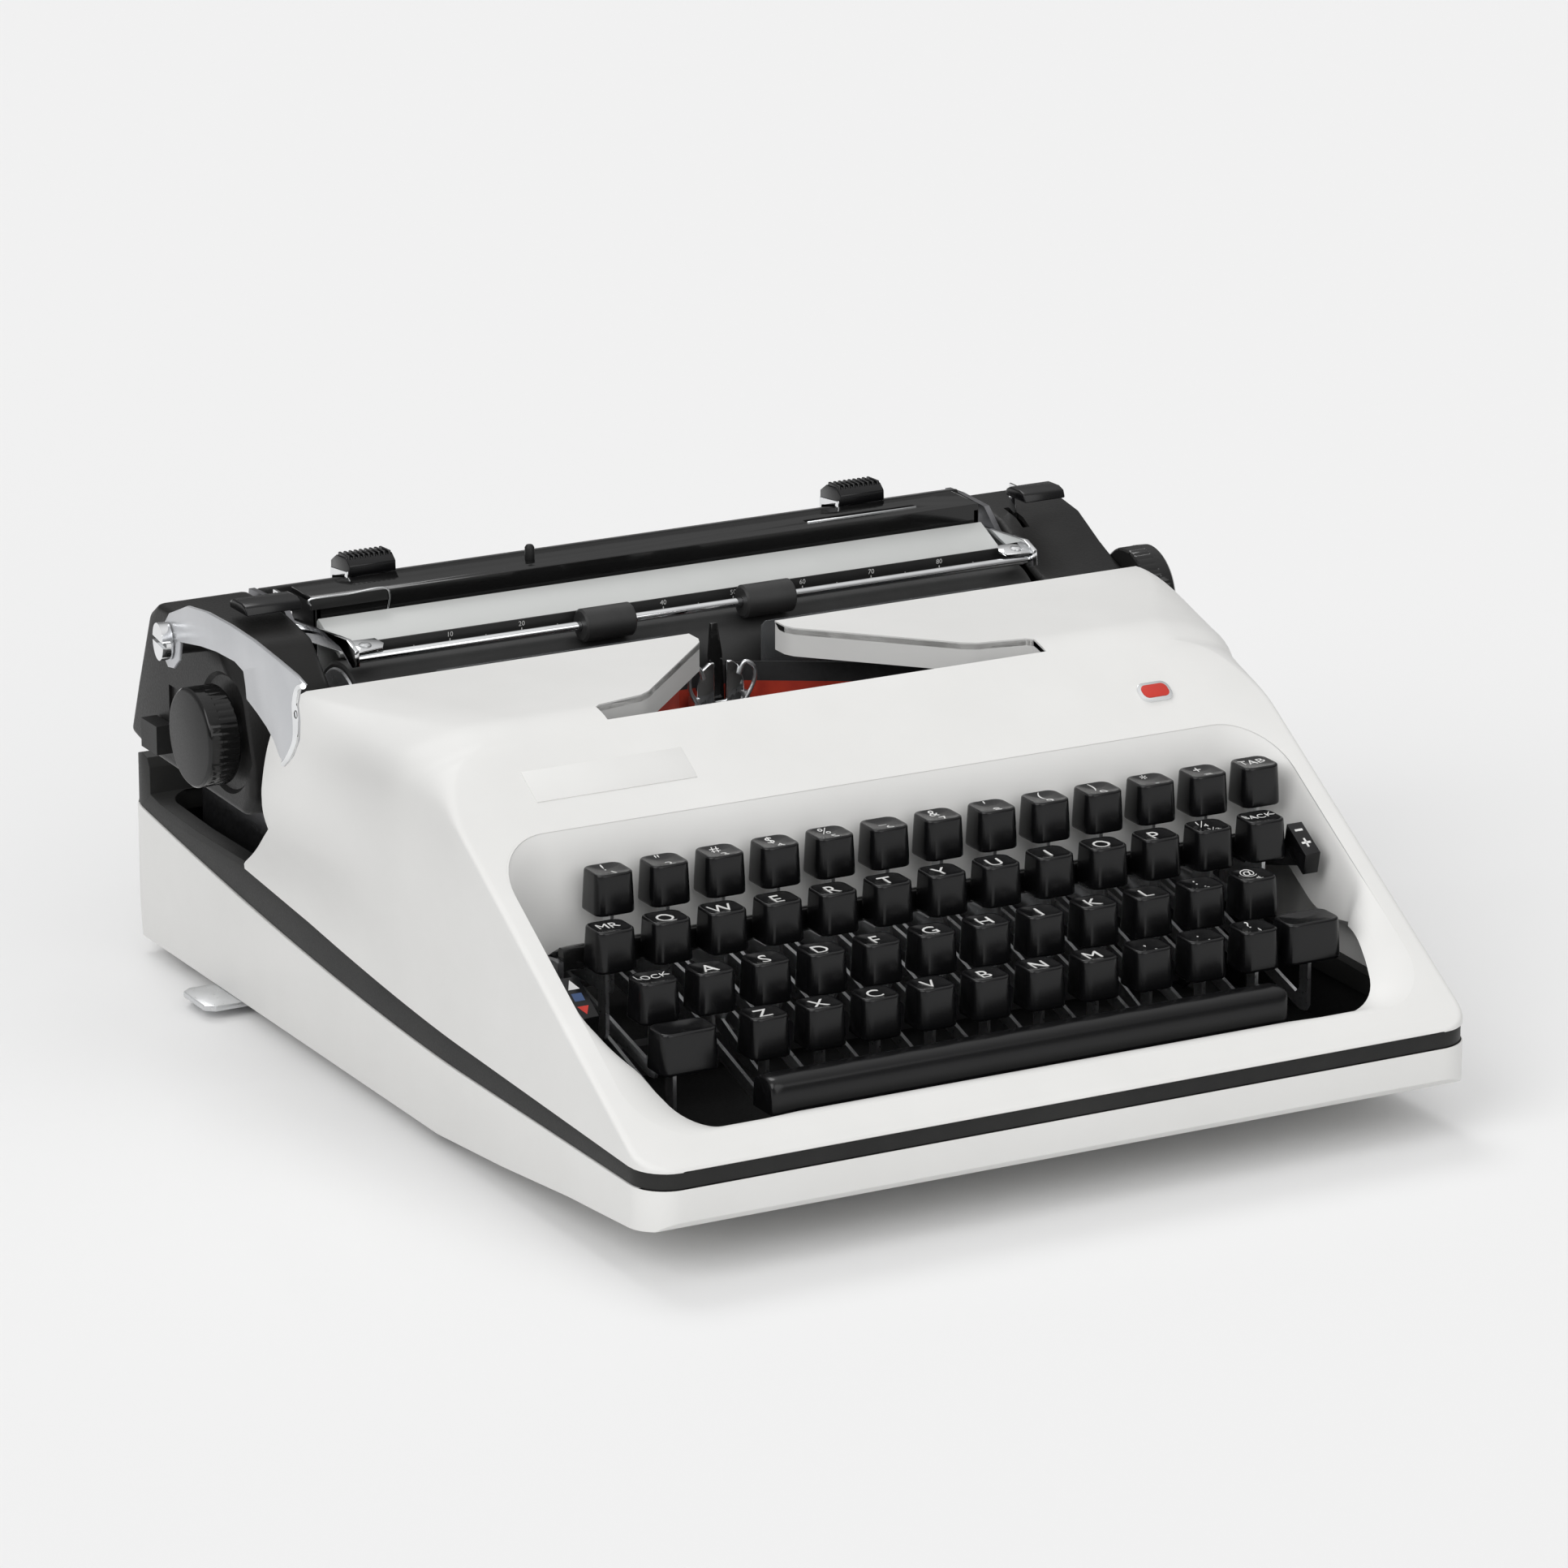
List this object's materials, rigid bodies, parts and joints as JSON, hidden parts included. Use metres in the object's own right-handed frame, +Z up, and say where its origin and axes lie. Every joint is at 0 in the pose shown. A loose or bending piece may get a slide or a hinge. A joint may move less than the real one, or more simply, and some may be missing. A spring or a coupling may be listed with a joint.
{
  "type": "manual typewriter",
  "caption": "Portable manual typewriter: white case and sloping cover, four rows of black keys, sliding carriage with platen, knobs, paper bail and return lever.",
  "frame": {"origin": "centre of the overall footprint, on the plane the rubber feet stand on", "axes": "+Z up, the keyboard faces -Y, +X is the typist's right"},
  "size_m": [0.3713, 0.371, 0.1622],
  "materials": {
    "white_shell": "fine textured satin",
    "black_shell": "crinkle textured satin",
    "deck_black": "fine textured matt",
    "key_black": "satin gloss with pale legends",
    "rubber_black": "smooth matt",
    "chrome": "polished",
    "steel": "plain rolled",
    "lever_silver": "satin grey",
    "table_grey": "light grey paint",
    "holder_smoke": "clear smoke plastic",
    "ribbon_cloth": "black and red inked cloth",
    "badge_red": "gloss",
    "knob_black": "gloss rim, satin face"
  },
  "bodies": {
    "base": {"lower_case": "white_shell", "mid_deck": "deck_black", "rubber_feet": "rubber_black", "latch_tongue": "steel", "chassis_frame": "steel", "key_guide_bar": "key_black", "carriage_rails": "steel", "lever_fulcrum": "steel", "type_guide": "chrome", "card_holders": "holder_smoke", "ribbon": "ribbon_cloth", "bell": "chrome"},
    "cover": {"top_cover": "white_shell", "cover_badge": "badge_red"},
    "color_selector": {"color_selector": "key_black"},
    "touch_control": {"touch_control": "key_black"},
    "spool_left": {"ribbon_spool_left": "deck_black"},
    "spool_right": {"ribbon_spool_right": "deck_black"},
    "type_basket": {"type_segment": "steel", "typebars": "steel"},
    "mainspring": {"mainspring_drum": "steel"},
    "carriage": {"carriage_frame": "steel", "carriage_end_left": "black_shell", "carriage_end_right": "black_shell", "rear_rail": "knob_black", "paper_table": "table_grey", "paper_support": "knob_black", "lever_screw": "chrome"},
    "margin_left": {"margin_stop_left": "chrome"},
    "margin_right": {"margin_stop_right": "chrome"},
    "platen": {"platen": "rubber_black", "platen_knob_left": "knob_black", "platen_knob_right": "knob_black", "ratchet_wheel": "steel"},
    "feed": {"feed_rollers": "rubber_black"},
    "return_lever": {"return_lever": "lever_silver"},
    "bail": {"paper_bail": "chrome"},
    "bail_rollers": {"bail_rollers": "rubber_black"},
    "paper_release": {"paper_release": "key_black"},
    "platen_release": {"platen_release": "key_black"},
    "line_space": {"line_space_lever": "knob_black"},
    "key_group_01": {"key_group_01": "key_black"},
    "key_group_02": {"key_group_02": "key_black"},
    "key_group_03": {"key_group_03": "key_black"},
    "key_group_04": {"key_group_04": "key_black"},
    "key_group_05": {"key_group_05": "key_black"},
    "key_group_06": {"key_group_06": "key_black"},
    "key_group_07": {"key_group_07": "key_black"},
    "key_group_08": {"key_group_08": "key_black"},
    "key_group_09": {"key_group_09": "key_black"},
    "key_group_10": {"key_group_10": "key_black"},
    "key_group_11": {"key_group_11": "key_black"},
    "key_group_12": {"key_group_12": "key_black"},
    "key_space_bar": {"key_space_bar": "key_black"},
    "key_shift_left": {"key_shift_left": "key_black"},
    "key_shift_right": {"key_shift_right": "key_black"},
    "key_shift_lock": {"key_shift_lock": "key_black"},
    "key_tab": {"key_tab": "key_black"},
    "key_back_space": {"key_back_space": "key_black"},
    "key_margin_release": {"key_margin_release": "key_black"}
  },
  "joints": [
    {"name": "cover_lift", "type": "slide", "parent": "base", "child": "cover", "axis": [0, -0.7682, 0.6402], "range_m": [0, 0.03]},
    {"name": "carriage_travel", "type": "slide", "parent": "base", "child": "carriage", "axis": [-1, 0, 0], "range_m": [-0.095, 0.1]},
    {"name": "color_selector_turn", "type": "hinge", "parent": "base", "child": "color_selector", "pos_m": [-0.1169, -0.054, 0.056], "axis": [1, 0, 0], "range_deg": [-5, 5]},
    {"name": "touch_control_turn", "type": "hinge", "parent": "base", "child": "touch_control", "pos_m": [0.1371, -0.054, 0.056], "axis": [1, 0, 0], "range_deg": [-4, 4]},
    {"name": "spool_left_turn", "type": "hinge", "parent": "base", "child": "spool_left", "pos_m": [-0.0759, -0.008, 0.104], "axis": [0, 0, 1], "continuous": true},
    {"name": "spool_right_turn", "type": "hinge", "parent": "base", "child": "spool_right", "pos_m": [0.0961, -0.008, 0.104], "axis": [0, 0, 1], "continuous": true},
    {"name": "basket_shift", "type": "slide", "parent": "base", "child": "type_basket", "axis": [0, 0, 1], "range_m": [-0.0065, 0.0002]},
    {"name": "mainspring_turn", "type": "hinge", "parent": "base", "child": "mainspring", "pos_m": [-0.0749, 0.13, 0.056], "axis": [0, 1, 0], "range_deg": [-400, 400]},
    {"name": "platen_turn", "type": "hinge", "parent": "carriage", "child": "platen", "pos_m": [0.0101, 0.0634, 0.1074], "axis": [1, 0, 0], "continuous": true},
    {"name": "feed_roller_turn", "type": "hinge", "parent": "carriage", "child": "feed", "pos_m": [0.0101, 0.066, 0.08685], "axis": [1, 0, 0], "continuous": true},
    {"name": "return_lever_fold", "type": "hinge", "parent": "carriage", "child": "return_lever", "pos_m": [-0.1624, 0.08, 0.1346], "axis": [-0.989, 0.1478, 0], "range_deg": [0, 25]},
    {"name": "paper_bail_lift", "type": "hinge", "parent": "carriage", "child": "bail", "pos_m": [0.0101, 0.098, 0.127], "axis": [-1, 0, 0], "range_deg": [0, 65]},
    {"name": "bail_roller_turn", "type": "hinge", "parent": "bail", "child": "bail_rollers", "pos_m": [0.0101, 0.0534, 0.1282], "axis": [1, 0, 0], "continuous": true},
    {"name": "paper_release_pull", "type": "hinge", "parent": "carriage", "child": "paper_release", "pos_m": [0.1496, 0.0945, 0.1], "axis": [1, 0, 0], "range_deg": [0, 10]},
    {"name": "platen_release_pull", "type": "hinge", "parent": "carriage", "child": "platen_release", "pos_m": [-0.1199, 0.0945, 0.1], "axis": [1, 0, 0], "range_deg": [0, 10]},
    {"name": "line_space_turn", "type": "hinge", "parent": "carriage", "child": "line_space", "pos_m": [-0.15365, 0.0634, 0.1074], "axis": [1, 0, 0], "range_deg": [0, 15]},
    {"name": "margin_left_slide", "type": "slide", "parent": "carriage", "child": "margin_left", "axis": [1, 0, 0], "range_m": [-0.02, 0.08]},
    {"name": "margin_right_slide", "type": "slide", "parent": "carriage", "child": "margin_right", "axis": [1, 0, 0], "range_m": [-0.07, 0.022]},
    {"name": "key_group_01_press", "type": "hinge", "parent": "base", "child": "key_group_01", "pos_m": [-0.0869, 0.012, 0.058], "axis": [1, 0, 0], "range_deg": [0, 4.5], "stiffness_Nm_per_rad": 1, "springref_deg": -6.88},
    {"name": "key_group_02_press", "type": "hinge", "parent": "base", "child": "key_group_02", "pos_m": [-0.06785, 0.012, 0.058], "axis": [1, 0, 0], "range_deg": [0, 4.5], "stiffness_Nm_per_rad": 1, "springref_deg": -6.88},
    {"name": "key_group_03_press", "type": "hinge", "parent": "base", "child": "key_group_03", "pos_m": [-0.0488, 0.012, 0.058], "axis": [1, 0, 0], "range_deg": [0, 4.5], "stiffness_Nm_per_rad": 1, "springref_deg": -6.88},
    {"name": "key_group_04_press", "type": "hinge", "parent": "base", "child": "key_group_04", "pos_m": [-0.02975, 0.012, 0.058], "axis": [1, 0, 0], "range_deg": [0, 4.5], "stiffness_Nm_per_rad": 1, "springref_deg": -6.88},
    {"name": "key_group_05_press", "type": "hinge", "parent": "base", "child": "key_group_05", "pos_m": [-0.0107, 0.012, 0.058], "axis": [1, 0, 0], "range_deg": [0, 4.5], "stiffness_Nm_per_rad": 1, "springref_deg": -6.88},
    {"name": "key_group_06_press", "type": "hinge", "parent": "base", "child": "key_group_06", "pos_m": [0.00835, 0.012, 0.058], "axis": [1, 0, 0], "range_deg": [0, 4.5], "stiffness_Nm_per_rad": 1, "springref_deg": -6.88},
    {"name": "key_group_07_press", "type": "hinge", "parent": "base", "child": "key_group_07", "pos_m": [0.0274, 0.012, 0.058], "axis": [1, 0, 0], "range_deg": [0, 4.5], "stiffness_Nm_per_rad": 1, "springref_deg": -6.88},
    {"name": "key_group_08_press", "type": "hinge", "parent": "base", "child": "key_group_08", "pos_m": [0.04645, 0.012, 0.058], "axis": [1, 0, 0], "range_deg": [0, 4.5], "stiffness_Nm_per_rad": 1, "springref_deg": -6.88},
    {"name": "key_group_09_press", "type": "hinge", "parent": "base", "child": "key_group_09", "pos_m": [0.0655, 0.012, 0.058], "axis": [1, 0, 0], "range_deg": [0, 4.5], "stiffness_Nm_per_rad": 1, "springref_deg": -6.88},
    {"name": "key_group_10_press", "type": "hinge", "parent": "base", "child": "key_group_10", "pos_m": [0.08455, 0.012, 0.058], "axis": [1, 0, 0], "range_deg": [0, 4.5], "stiffness_Nm_per_rad": 1, "springref_deg": -6.88},
    {"name": "key_group_11_press", "type": "hinge", "parent": "base", "child": "key_group_11", "pos_m": [0.1036, 0.012, 0.058], "axis": [1, 0, 0], "range_deg": [0, 4.5], "stiffness_Nm_per_rad": 1, "springref_deg": -6.88},
    {"name": "key_group_12_press", "type": "hinge", "parent": "base", "child": "key_group_12", "pos_m": [0.12265, 0.012, 0.058], "axis": [1, 0, 0], "range_deg": [0, 4.5], "stiffness_Nm_per_rad": 1, "springref_deg": -6.88},
    {"name": "key_space_bar_press", "type": "hinge", "parent": "base", "child": "key_space_bar", "pos_m": [0.0081, 0.012, 0.058], "axis": [1, 0, 0], "range_deg": [0, 4], "stiffness_Nm_per_rad": 2, "springref_deg": -6.88},
    {"name": "key_shift_left_press", "type": "hinge", "parent": "base", "child": "key_shift_left", "pos_m": [-0.1019, 0.012, 0.058], "axis": [1, 0, 0], "range_deg": [0, 4.5], "stiffness_Nm_per_rad": 2, "springref_deg": -6.88},
    {"name": "key_shift_right_press", "type": "hinge", "parent": "base", "child": "key_shift_right", "pos_m": [0.1201, 0.012, 0.058], "axis": [1, 0, 0], "range_deg": [0, 4.5]},
    {"name": "key_shift_lock_press", "type": "hinge", "parent": "base", "child": "key_shift_lock", "pos_m": [-0.0986, 0.012, 0.058], "axis": [1, 0, 0], "range_deg": [0, 4.5], "stiffness_Nm_per_rad": 1, "springref_deg": -6.88},
    {"name": "key_tab_press", "type": "hinge", "parent": "base", "child": "key_tab", "pos_m": [0.1339, 0.012, 0.058], "axis": [1, 0, 0], "range_deg": [0, 4.5], "stiffness_Nm_per_rad": 1, "springref_deg": -6.88},
    {"name": "key_back_space_press", "type": "hinge", "parent": "base", "child": "key_back_space", "pos_m": [0.1249, 0.012, 0.058], "axis": [1, 0, 0], "range_deg": [0, 4.5], "stiffness_Nm_per_rad": 1, "springref_deg": -6.88},
    {"name": "key_margin_release_press", "type": "hinge", "parent": "base", "child": "key_margin_release", "pos_m": [-0.1059, 0.012, 0.058], "axis": [1, 0, 0], "range_deg": [0, 4.5], "stiffness_Nm_per_rad": 1, "springref_deg": -6.88}
  ],
  "couplings": [
    {"joint": "spool_right_turn", "follows": "spool_left_turn", "ratio": 1},
    {"joint": "basket_shift", "follows": "key_shift_left_press", "m_per_rad": -0.076394},
    {"joint": "key_shift_right_press", "follows": "key_shift_left_press", "ratio": 1},
    {"joint": "mainspring_turn", "follows": "carriage_travel", "rad_per_m": -66.667},
    {"joint": "feed_roller_turn", "follows": "platen_turn", "ratio": -5.3125}
  ]
}
